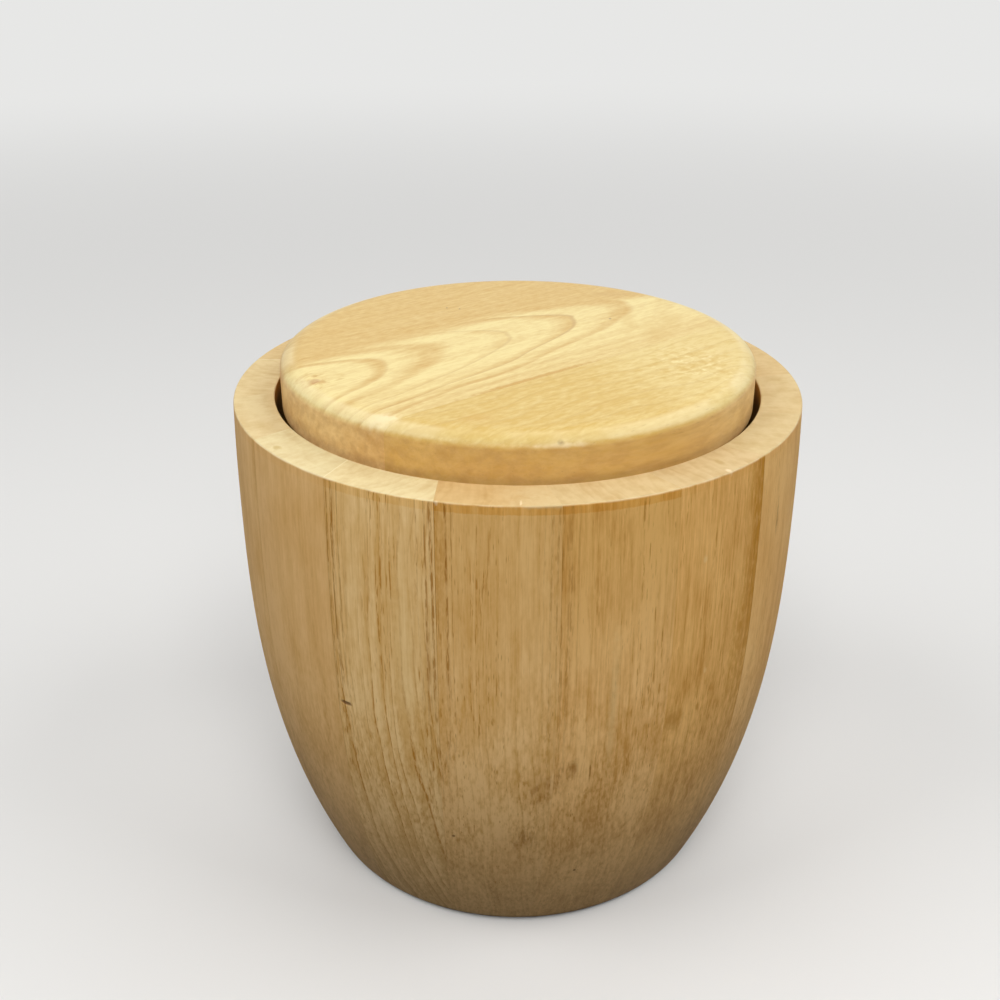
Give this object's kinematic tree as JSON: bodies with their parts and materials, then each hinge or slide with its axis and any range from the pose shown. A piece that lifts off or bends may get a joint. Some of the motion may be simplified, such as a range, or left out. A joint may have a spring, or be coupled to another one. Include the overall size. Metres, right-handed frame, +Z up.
{
  "type": "wooden ice bucket",
  "caption": "Round-bellied wooden ice bucket of glued upright staves, with a lift-out steel liner and a flat wooden lid that stands proud of the rim.",
  "frame": {"origin": "on the floor under the bucket's axis", "axes": "+Z up along the axis, -Y towards the picture's camera, +X to its right"},
  "size_m": [0.2014, 0.2014, 0.1975],
  "materials": {
    "stave_wood": "pale hardwood with short dark pores, satin clear lacquer",
    "base_wood": "pale hardwood, thin clear lacquer",
    "lid_wood": "pale hardwood with cathedral figure, satin clear lacquer",
    "liner_steel": "drawn stainless steel, fine turned brushing, polished rolled rim"
  },
  "bodies": {
    "bucket": {"stave_01": "stave_wood", "stave_02": "stave_wood", "stave_03": "stave_wood", "stave_04": "stave_wood", "stave_05": "stave_wood", "stave_06": "stave_wood", "stave_07": "stave_wood", "stave_08": "stave_wood", "stave_09": "stave_wood", "stave_10": "stave_wood", "stave_11": "stave_wood", "stave_12": "stave_wood", "stave_13": "stave_wood", "stave_14": "stave_wood", "stave_15": "stave_wood", "stave_16": "stave_wood", "base_disc": "base_wood"},
    "liner": {"liner": "liner_steel"},
    "lid": {"lid_board_wide": "lid_wood", "lid_board_narrow": "lid_wood"}
  },
  "joints": [
    {"name": "liner_lift", "type": "slide", "parent": "bucket", "child": "liner", "axis": [0, 0, 1], "range_m": [0, 0.18]},
    {"name": "lid_lift", "type": "slide", "parent": "liner", "child": "lid", "axis": [0, 0, 1], "range_m": [0, 0.12]}
  ]
}
